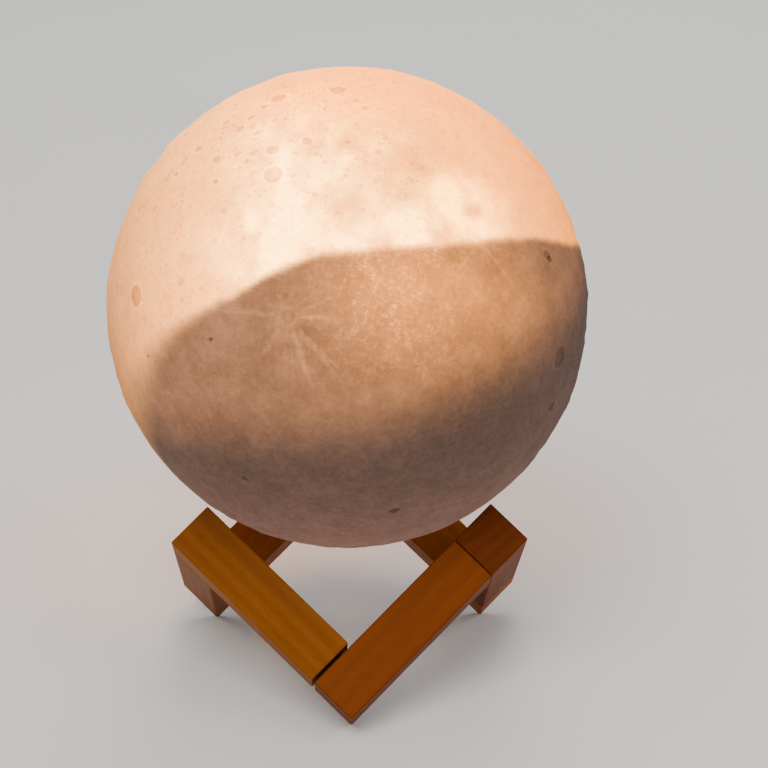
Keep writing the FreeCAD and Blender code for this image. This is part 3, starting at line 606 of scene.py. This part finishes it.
def moon_material():
    """Printed plastic lit from inside. The broad glow is the mesh's own attribute. Craters, rays,
    threads and grain scale it: each is worked out on the globe's own unit sphere."""
    material, tree, shader = shade("moon_shell_glow")
    unit = add(tree, "Mapping", {
        "Vector": add(tree, "TexCoord").outputs["Object"],
        "Location": tuple(-GLOBE_CENTRE / GLOBE_RADIUS), "Scale": (1.0 / GLOBE_RADIUS,) * 3,
    }).outputs[0]
    glow = add(tree, "Attribute", attribute_name="glow").outputs["Color"]
    lit = add(tree, "Attribute", attribute_name="lit").outputs["Fac"]
    warp = add(tree, "TexNoise", {"Vector": unit, "Scale": 16.0, "Detail": 4.0, "Roughness": 0.65})
    drift = add(tree, "VectorMath", {0: warp.outputs["Color"], 1: (0.5, 0.5, 0.5)},
                operation="SUBTRACT").outputs[0]
    bent, more_bent = [
        add(tree, "VectorMath", {0: dim(tree, drift, amount), 1: unit}, operation="ADD").outputs[0]
        for amount in (0.016, 0.030)
    ]
    fine, middling, region = [
        add(tree, "TexNoise", {
            "Vector": unit, "Scale": scale, "Detail": detail, "Roughness": rough,
        }).outputs["Fac"]
        for scale, detail, rough in ((44.0, 8.0, 0.72), (13.0, 5.0, 0.62), (3.2, 3.0, 0.55))
    ]
    floor, outline, rim = crater_masks(tree, unit, bent, lit)
    star = scale_up(tree, nearest_mark(tree, bent, DARK_MARKS), fine)
    dark = ramp(tree, star, [(0.0, 0.55), (0.22, 0.7), (0.38, 1.0), (0.62, 0.0)])
    broken = ramp(tree, fine, [(0.42, 0.0), (0.60, 1.0)])
    streaky = ramp(tree, fine, [(0.34, 0.35), (0.50, 1.0)])
    rays = higher(tree, *[ray_tone(tree, bent, streaky, crater) for crater in RAY_CRATERS])
    lace = lace_mask(tree, unit, more_bent, broken, region)

    grain = remap(tree, fine, (0.30, 0.70), (0.88, 1.12))
    soft = remap(tree, middling, (0.30, 0.70), (0.84, 1.16))
    light = scale_up(tree, grain, soft)
    brighter = add(tree, "Math", {0: rays, 1: 0.58, 2: scale_up(tree, lace, 0.72)},
                   operation="MULTIPLY_ADD").outputs[0]
    brighter = scale_up(tree, brighter, remap(tree, lit, (0.0, 1.0), (1.0, 0.30)))
    brighter = add(tree, "Math", {0: scale_up(tree, rim, 0.14), 1: brighter}, operation="ADD").outputs[0]
    light = scale_up(tree, light, add(tree, "Math", {0: brighter, 1: 1.0}, operation="ADD").outputs[0])
    colour = dim(tree, glow, light)
    blush = scale_up(tree, ramp(tree, middling, [(0.46, 0.0), (0.62, 1.0)]), lit)
    for fac, tint in ((scale_up(tree, blush, 0.62), (0.74, 0.60, 0.54, 1.0)),
                      (floor, (0.64, 0.53, 0.46, 1.0)),
                      (scale_up(tree, outline, 0.7), (0.70, 0.58, 0.50, 1.0)),
                      (dark, (0.30, 0.25, 0.26, 1.0))):
        colour = blend_colours(tree, "MULTIPLY", fac, colour, tint)
    shader.inputs["Emission Strength"].default_value = 1.0
    tree.links.new(colour, shader.inputs["Emission Color"])
    body = ramp(tree, fine, [(0.3, (0.022, 0.014, 0.011)), (0.7, (0.046, 0.030, 0.024))])
    tree.links.new(body, shader.inputs["Base Color"])
    shader.inputs["Roughness"].default_value = 0.8
    shader.inputs["Specular IOR Level"].default_value = 0.18
    pits = add(tree, "Math", {0: floor, 1: -0.6, 2: fine}, operation="MULTIPLY_ADD").outputs[0]
    add_bump(tree, shader, pits, 0.6, 0.0007)
    return material


def relief_height(points, settings):
    """Height of the ground, at most 0: rough ground, rougher on the plains, plus the scattered
    craters, the table's craters and the first ray crater. It fades out at the mouth."""
    small = crater_ground(points, *scattered_craters(settings.crater_count))
    marks = direction(FLAT_CRATERS[:, 0], FLAT_CRATERS[:, 1])
    depths = np.full(len(marks), MARK_DEPTH)
    large = crater_ground(points, marks, np.radians(FLAT_CRATERS[:, 2]), depths)
    young = direction(np.array([RAY_CRATERS[0][0]]), np.array([RAY_CRATERS[0][1]]))
    basin = crater_ground(points, young, np.radians(np.array([YOUNG_RADIUS])), np.array([YOUNG_DEPTH]))
    plains = smoothstep(-0.12, 0.16, rough_ground(points, 2.1, 3, 21))
    height = settings.relief * (rough_ground(points, 11.0, 6, 3) * (0.7 + 0.9 * plains)
                                + 0.9 * small + 0.8 * large + basin)
    latitude = np.degrees(np.arcsin(points[:, 2]))
    height = (height - height.max()) * smoothstep(MOUTH_LATITUDE, MOUTH_LATITUDE + MOUTH_MARGIN, latitude)
    return np.maximum(height, -settings.wall * DEEPEST_PIT)


def sphere_grid(longitude, latitude):
    """Unit vectors at all longitudes of each latitude in turn, and last the top pole."""
    lon, lat = np.meshgrid(longitude, latitude, indexing="xy")
    return np.concatenate([
        direction(lon.ravel(), lat.ravel()), direction(np.array([0.0]), np.array([90.0])),
    ])


def weave(outside, inside):
    """The outside's rows and the inside's rows, and then their two poles."""
    return np.concatenate([outside[:-1], inside[:-1], outside[-1:], inside[-1:]])


def build_globe(settings):
    """The shell as one closed lathe surface: the outside from the top to the mouth, pressed in by
    the relief, then the mouth's edge, then the smooth inside back to the top."""
    columns, rows = settings.columns, settings.rows
    turn = np.arange(columns) / columns * 2 * math.pi
    longitude = np.degrees(turn - FRONT_SQUEEZE * np.sin(turn))
    step = (90.0 - MOUTH_LATITUDE) / rows
    outside = sphere_grid(longitude, 90.0 - step * np.arange(1, rows + 1))
    skin = outside * (GLOBE_RADIUS + relief_height(outside, settings))[:, None] + GLOBE_CENTRE

    inner_radius = GLOBE_RADIUS - settings.wall
    mouth_radius = math.sqrt(GLOBE_RADIUS ** 2 - MOUTH_DROP ** 2)
    inner_start = -math.degrees(math.acos(mouth_radius / inner_radius))
    inner_latitude = inner_start + (90.0 - inner_start) * np.arange(INNER_ROWS) / INNER_ROWS
    inside = sphere_grid(longitude, inner_latitude) * inner_radius + GLOBE_CENTRE

    points = weave(skin, inside)
    mesh = surface_mesh("moon_globe", points, lathe_faces(rows + INNER_ROWS, columns))
    inner_glow = np.tile(np.array(settings.pale[:]) * INNER_GLOW, (len(inside), 1))
    colours = np.ones((len(points), 4))
    colours[:, :3] = weave(glow_colours(outside, settings), inner_glow)
    mesh.attributes.new("glow", "FLOAT_COLOR", "POINT").data.foreach_set("color", colours.ravel())
    share = weave(lit_share(outside), np.ones(len(inside)))
    mesh.attributes.new("lit", "FLOAT", "POINT").data.foreach_set("value", share)
    mesh.materials.append(moon_material())
    globe = show(mesh, "lamp")
    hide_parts("moon_shell")
    return globe


# ------------------------------------------------------------ finishes of the frame's own nodes
def dress(names, material):
    """Gives nodes of the frame a material, in every slot."""
    for name in names:
        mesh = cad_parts[name].data
        mesh.materials.clear()
        mesh.materials.append(material)


def bar_direction(name):
    """The long axis of a bar: the direction in which its points spread most."""
    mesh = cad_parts[name].data
    points = np.empty(len(mesh.vertices) * 3)
    mesh.vertices.foreach_get("co", points)
    points = points.reshape(-1, 3)
    spread = np.cov((points - points.mean(axis=0)).T)
    return Vector(np.linalg.eigh(spread)[1][:, 2])


def wood_material(name, along, tone, seed, settings):
    """Oiled close-grained wood, its grain along the bar: long wavering lines, broad rings, fine
    pores, a slow change of tone and paler edges. The pattern's X is turned to run along the bar."""
    material, tree, shader = shade(name)
    points = place(tree, along.rotation_difference(Vector((1, 0, 0))).to_euler())
    shift = add(tree, "VectorMath", {0: points, 1: tuple(seed * part for part in GRAIN_SHIFT)},
                operation="ADD").outputs[0]
    lines = add(tree, "TexNoise", {
        "Vector": stretch(tree, shift, (9.0, 95.0, 95.0)), "Scale": 1.6, "Detail": 6.0,
        "Roughness": 0.62, "Distortion": 0.35,
    }).outputs["Fac"]
    slow = add(tree, "TexNoise", {"Vector": shift, "Scale": 28.0, "Detail": 3.0}).outputs["Fac"]
    rings = add(tree, "TexWave", {
        "Vector": stretch(tree, shift, (3.0, 60.0, 85.0)), "Scale": 0.9, "Distortion": 5.0,
        "Detail": 3.0, "Detail Scale": 1.2,
    }, bands_direction="Z").outputs["Fac"]
    cells = add(tree, "TexVoronoi", {
        "Vector": stretch(tree, shift, (150.0, 900.0, 900.0)), "Scale": 1.0, "Randomness": 1.0,
    }).outputs["Distance"]
    pore = ramp(tree, cells, [(0.12, 0.0), (0.32, 1.0)])
    # tone multiplies the wood's colour; on the two legs it is painted shade, and on the front-right bar
    # it is partly painted shade
    light = tuple(c * t for c, t in zip(settings.light, tone))
    dark = tuple(c * t for c, t in zip(settings.dark, tone))
    grain = blend_colours(tree, "MIX", 0.32, lines, rings)
    colour = ramp(tree, grain, [(0.30, dark), (0.70, light)])
    colour = dim(tree, colour, remap(tree, slow, (0.3, 0.7), (0.86, 1.14)))
    colour = blend_colours(tree, "MULTIPLY", 0.16, colour, pore)
    worn = ramp(tree, add(tree, "NewGeometry").outputs["Pointiness"], [(0.50, 0.0), (0.58, 1.0)])
    paler = (*[min(1.0, c * 1.6) for c in light], 1.0)
    colour = blend_colours(tree, "MIX", scale_up(tree, worn, 0.35), colour, paler)
    tree.links.new(colour, shader.inputs["Base Color"])
    rough = remap(tree, lines, (0.0, 1.0), (settings.gloss - 0.08, settings.gloss + 0.14))
    tree.links.new(rough, shader.inputs["Roughness"])
    shader.inputs["Specular IOR Level"].default_value = 0.04
    add_bump(tree, shader, scale_up(tree, lines, pore), 0.35, 0.0004)
    return material


def plastic_material(name, colour, roughness, texture=2600.0, strength=0.16, clear=False):
    """Moulded plastic: a fine spark-eroded texture and a slight change of tone and gloss."""
    material, tree, shader = shade(name)
    points = place(tree)
    fine = add(tree, "TexNoise", {"Vector": points, "Scale": texture, "Detail": 3.0}).outputs["Fac"]
    broad = add(tree, "TexNoise", {"Vector": points, "Scale": 60.0, "Detail": 2.0}).outputs["Fac"]
    low = tuple(c * 0.90 for c in colour)
    tree.links.new(ramp(tree, broad, [(0.3, low), (0.7, tuple(colour))]), shader.inputs["Base Color"])
    rough = remap(tree, fine, (0.0, 1.0), (max(0.02, roughness - 0.07), roughness + 0.07))
    tree.links.new(rough, shader.inputs["Roughness"])
    if clear:
        shader.inputs["Transmission Weight"].default_value = 0.85
        shader.inputs["IOR"].default_value = 1.49
    add_bump(tree, shader, fine, strength, 0.0001)
    return material


def metal_material(name, colour, roughness=0.30, turned=True):
    """Plated steel: fine noise, drawn out on turned pieces, and a slight change of tone."""
    material, tree, shader = shade(name)
    points = place(tree, scale=(1.0, 1.0, 9.0) if turned else (1.0, 1.0, 1.0))
    lines = add(tree, "TexNoise", {
        "Vector": points, "Scale": 900.0, "Detail": 4.0, "Roughness": 0.6,
    }).outputs["Fac"]
    broad = add(tree, "TexNoise", {"Vector": points, "Scale": 120.0, "Detail": 3.0}).outputs["Fac"]
    low = tuple(c * 0.78 for c in colour)
    tree.links.new(ramp(tree, broad, [(0.3, low), (0.7, tuple(colour))]), shader.inputs["Base Color"])
    shader.inputs["Metallic"].default_value = 1.0
    rough = remap(tree, lines, (0.0, 1.0), (roughness - 0.08, roughness + 0.16))
    tree.links.new(rough, shader.inputs["Roughness"])
    add_bump(tree, shader, lines, 0.12, 0.00005)
    return material


def board_material(name, resist, copper):
    """Circuit board: resist over tracks laid like the joints of a brick wall, and plated dots."""
    material, tree, shader = shade(name)
    points = place(tree)
    tracks = add(tree, "TexBrick", {
        "Vector": points, "Scale": 260.0, "Mortar Size": 0.05,
        "Color1": (0, 0, 0, 1), "Color2": (0.25, 0.25, 0.25, 1), "Mortar": (1, 1, 1, 1),
    }).outputs["Color"]
    dots = add(tree, "TexVoronoi", {"Vector": points, "Scale": 420.0, "Randomness": 0.6})
    dot = ramp(tree, dots.outputs["Distance"], [(0.14, 1.0), (0.18, 0.0)])
    raised = (*[c * 1.5 for c in resist], 1.0)
    track = blend_colours(tree, "MIX", tracks, (*resist, 1.0), raised)
    tree.links.new(blend_colours(tree, "MIX", dot, track, (*copper, 1.0)), shader.inputs["Base Color"])
    tree.links.new(scale_up(tree, dot, 0.9), shader.inputs["Metallic"])
    shader.inputs["Roughness"].default_value = 0.34
    add_bump(tree, shader, tracks, 0.2, 0.00005)
    return material


def phosphor_material(name):
    """Yellow phosphor of a light chip: grainy, and glowing a little."""
    material, tree, shader = shade(name)
    grains = add(tree, "TexVoronoi", {"Vector": place(tree), "Scale": 2600.0}).outputs["Distance"]
    colour = ramp(tree, grains, [(0.0, (0.92, 0.66, 0.16)), (0.8, (0.98, 0.84, 0.40))])
    tree.links.new(colour, shader.inputs["Base Color"])
    tree.links.new(colour, shader.inputs["Emission Color"])
    shader.inputs["Emission Strength"].default_value = 1.5
    shader.inputs["Roughness"].default_value = 0.42
    add_bump(tree, shader, grains, 0.2, 0.0001)
    return material


# ------------------------------------------------------------ stage
def build_floor(scene, colour):
    """A flat grid just under the part, in a slightly clouded colour."""
    steps = np.linspace(-FLOOR_REACH, FLOOR_REACH, FLOOR_LINES)
    x, y = np.meshgrid(steps, steps, indexing="ij")
    points = np.stack([x.ravel(), y.ravel(), np.full(x.size, -FLOOR_DROP)], axis=-1)
    row, column = np.meshgrid(np.arange(FLOOR_LINES - 1), np.arange(FLOOR_LINES - 1), indexing="ij")
    corner = row * FLOOR_LINES + column
    quads = np.stack([corner, corner + FLOOR_LINES, corner + FLOOR_LINES + 1, corner + 1], axis=-1)
    mesh = surface_mesh("floor", points, [quads.reshape(-1, 4)])
    material, tree, shader = shade("floor_paint")
    cloud = add(tree, "TexNoise", {"Vector": place(tree), "Scale": 5.0, "Detail": 3.0}).outputs["Fac"]
    low = tuple(c * 0.97 for c in colour)
    tree.links.new(ramp(tree, cloud, [(0.3, low), (0.7, colour[:])]), shader.inputs["Base Color"])
    shader.inputs["Roughness"].default_value = 0.75
    shader.inputs["Specular IOR Level"].default_value = 0.2
    mesh.materials.append(material)
    floor = bpy.data.objects.new("floor", mesh)
    scene.collection.objects.link(floor)


def build_lights(scene, key_power, sky):
    """Three soft round lights that face the part, and even light from all sides."""
    for name, spot, size, share, colour in LIGHTS:
        lamp = bpy.data.lights.new(name, "AREA")
        lamp.shape = "DISK"
        lamp.size = size
        lamp.energy = key_power * share
        lamp.color = colour
        holder = bpy.data.objects.new(name, lamp)
        holder.location = spot
        aim = Vector(LIGHT_AIM) - Vector(spot)
        holder.rotation_euler = aim.to_track_quat("-Z", "Y").to_euler()
        scene.collection.objects.link(holder)
    world = bpy.data.worlds.new("studio")
    world.use_nodes = True
    background = world.node_tree.nodes["Background"]
    background.inputs["Color"].default_value = (1.0, 1.0, 1.0, 1.0)
    background.inputs["Strength"].default_value = sky
    scene.world = world


def build_camera(scene, settings):
    """A camera turned by yaw, pitch and roll, and set back from its target along its own view."""
    pitch, yaw, roll = settings.pitch, settings.yaw, settings.roll
    ahead = Vector((math.sin(yaw) * math.cos(pitch), math.cos(yaw) * math.cos(pitch), -math.sin(pitch)))
    right = Vector((math.cos(yaw), -math.sin(yaw), 0.0))
    up = right.cross(ahead)
    side_on = right * math.cos(roll) + up * math.sin(roll)
    upright = up * math.cos(roll) - right * math.sin(roll)
    turn = Matrix((side_on, upright, -ahead)).transposed().to_4x4()
    camera = bpy.data.objects.new("camera", bpy.data.cameras.new("camera"))
    camera.data.lens = settings.lens
    camera.data.sensor_width = SENSOR_WIDTH
    camera.data.clip_start = CLIP_START
    spot = Vector(settings.target) - ahead * settings.distance
    camera.matrix_world = Matrix.Translation(spot) @ turn
    scene.collection.objects.link(camera)
    scene.camera = camera


# ------------------------------------------------------------ operators
class MOONLAMP_OT_globe(bpy.types.Operator):
    """Builds the globe with its relief and its glow"""
    bl_idname = "moonlamp.globe"
    bl_label = "Globe"

    def execute(self, context):
        build_globe(context.scene.moonlamp_globe)
        return {"FINISHED"}


class MOONLAMP_OT_stand(bpy.types.Operator):
    """Gives each bar of the stand wood whose grain runs along it, and the pins their metal"""
    bl_idname = "moonlamp.stand"
    bl_label = "Stand"

    def execute(self, context):
        settings = context.scene.moonlamp_wood
        # each bar's tone, which is painted shade on the two legs and partly painted shade on the
        # front-right bar
        for seed, (name, tone) in enumerate(BAR_TONES_AND_SHADE.items(), start=1):
            dress([name], wood_material(name + "_wood", bar_direction(name), tone, seed, settings))
        dress(PINS, metal_material("pin_steel", context.scene.moonlamp_base.metal))
        return {"FINISHED"}


class MOONLAMP_OT_base(bpy.types.Operator):
    """Finishes the ring in the globe's mouth, the cover, the button, the socket and their screws"""
    bl_idname = "moonlamp.base"
    bl_label = "Base unit"

    def execute(self, context):
        settings = context.scene.moonlamp_base
        dress(["mounting_ring", "base_housing"], plastic_material("base_plastic", settings.shell, 0.46))
        dress(["bottom_cover"], plastic_material("cover_plastic", settings.shell, 0.52, 1900.0, 0.24))
        dress(["push_button"], plastic_material("button_plastic", settings.button, 0.30, 3200.0, 0.08))
        dress(["light_pipe"], plastic_material("light_rod", (0.92, 0.94, 0.95), 0.10, 3000.0, 0.03, True))
        dress(["cover_screws", "ring_screws", "board_screws", "led_screws"],
              metal_material("screw_steel", settings.metal, 0.34, False))
        dress(["charging_socket"], metal_material("socket_steel", settings.metal, 0.28, False))
        return {"FINISHED"}


class MOONLAMP_OT_inside(bpy.types.Operator):
    """Finishes the boards, the switch, the battery, the light holder, the chips and the wires"""
    bl_idname = "moonlamp.inside"
    bl_label = "Inside"

    def execute(self, context):
        dress(["main_board"], board_material("board_green", (0.015, 0.12, 0.045), (0.85, 0.62, 0.30)))
        dress(["led_board"], board_material("board_white", (0.62, 0.62, 0.60), (0.75, 0.73, 0.70)))
        dress(["tact_switch"], plastic_material("switch_black", (0.03, 0.03, 0.032), 0.40))
        dress(["switch_plunger"], plastic_material("plunger_black", (0.05, 0.05, 0.05), 0.34))
        dress(["battery_cell"], plastic_material("battery_sleeve", (0.06, 0.20, 0.48), 0.22, 700.0, 0.10))
        dress(["battery_pads"], plastic_material("foam_black", (0.05, 0.05, 0.055), 0.85, 1500.0, 0.8))
        dress(["led_holder"], plastic_material("holder_plastic", (0.82, 0.82, 0.80), 0.42))
        dress(["led_chips", "charge_led"], phosphor_material("chip_phosphor"))
        dress(["led_wires"], plastic_material("wire_cover", (0.45, 0.03, 0.025), 0.46, 1800.0, 0.1))
        return {"FINISHED"}


class MOONLAMP_OT_stage(bpy.types.Operator):
    """Makes the pale floor, the soft lights and the camera"""
    bl_idname = "moonlamp.stage"
    bl_label = "Stage"

    def execute(self, context):
        settings = context.scene.moonlamp_stage
        build_floor(context.scene, settings.floor)
        build_lights(context.scene, settings.key, settings.sky)
        build_camera(context.scene, settings)
        return {"FINISHED"}


class MOONLAMP_PT_panel(bpy.types.Panel):
    """Shows the lamp's settings and build buttons in the sidebar"""
    bl_idname = "MOONLAMP_PT_panel"
    bl_label = "Moon Lamp"
    bl_space_type = "VIEW_3D"
    bl_region_type = "UI"
    bl_category = "Moon Lamp"

    def draw(self, context):
        for group, operators in (
            (context.scene.moonlamp_globe, ["moonlamp.globe"]),
            (context.scene.moonlamp_wood, ["moonlamp.stand"]),
            (context.scene.moonlamp_base, ["moonlamp.base", "moonlamp.inside"]),
            (context.scene.moonlamp_stage, ["moonlamp.stage"]),
        ):
            box = self.layout.box()
            for name in group.bl_rna.properties.keys():
                if name not in {"rna_type", "name"}:
                    box.prop(group, name)
            for operator in operators:
                box.operator(operator)


GROUPS = {
    "moonlamp_globe": GlobeSettings, "moonlamp_wood": WoodSettings,
    "moonlamp_base": BaseSettings, "moonlamp_stage": StageSettings,
}
CLASSES = [
    *GROUPS.values(), MOONLAMP_OT_globe, MOONLAMP_OT_stand, MOONLAMP_OT_base, MOONLAMP_OT_inside,
    MOONLAMP_OT_stage, MOONLAMP_PT_panel,
]


def register():
    """Registers the classes and hangs the settings on the scene."""
    for cls in CLASSES:
        bpy.utils.register_class(cls)
    for name, group in GROUPS.items():
        setattr(bpy.types.Scene, name, bpy.props.PointerProperty(type=group))


def unregister():
    """Takes the settings off the scene and unregisters the classes."""
    for name in GROUPS:
        delattr(bpy.types.Scene, name)
    for cls in reversed(CLASSES):
        bpy.utils.unregister_class(cls)


def main():
    register()
    bpy.ops.moonlamp.globe()
    bpy.ops.moonlamp.stand()
    bpy.ops.moonlamp.base()
    bpy.ops.moonlamp.inside()
    bpy.ops.moonlamp.stage()


if __name__ == "__main__":
    main()
